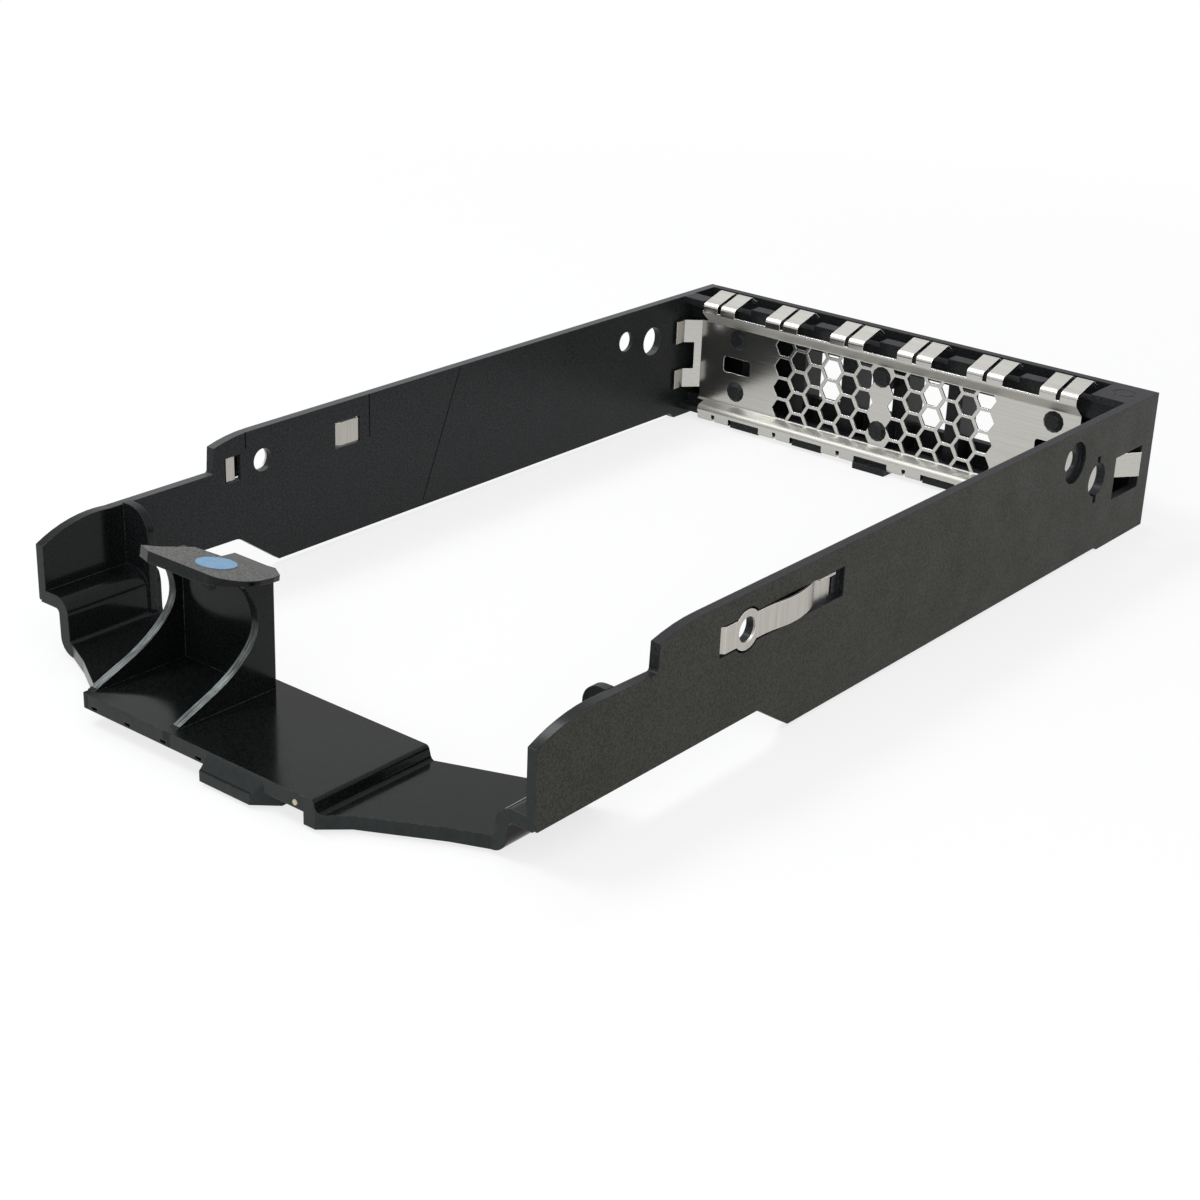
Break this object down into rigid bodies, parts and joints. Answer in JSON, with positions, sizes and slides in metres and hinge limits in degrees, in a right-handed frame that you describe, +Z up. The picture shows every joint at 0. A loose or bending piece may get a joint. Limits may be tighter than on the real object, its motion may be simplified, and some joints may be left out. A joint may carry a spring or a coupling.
{
  "type": "hot swap drive caddy",
  "caption": "Open drive carrier with scoop handle, stamped honeycomb screen with spring fingers, and a sprung strip in each side wall.",
  "frame": {"origin": "middle of the overall length and width, level with the underside of the rear feet", "axes": "+X across to the right wall, +Y from the handle to the screen end, +Z up"},
  "size_m": [0.107, 0.195, 0.0282],
  "materials": {
    "black_moulding": "fine matte grain outside, glossier inside",
    "sheet_steel": "bright stainless sheet",
    "blue_mark": "printed light blue"
  },
  "bodies": {
    "root": {"frame": "black_moulding", "contact_screen": "sheet_steel", "right_clip": "sheet_steel", "left_clip": "sheet_steel", "touch_dot": "blue_mark"}
  },
  "joints": []
}
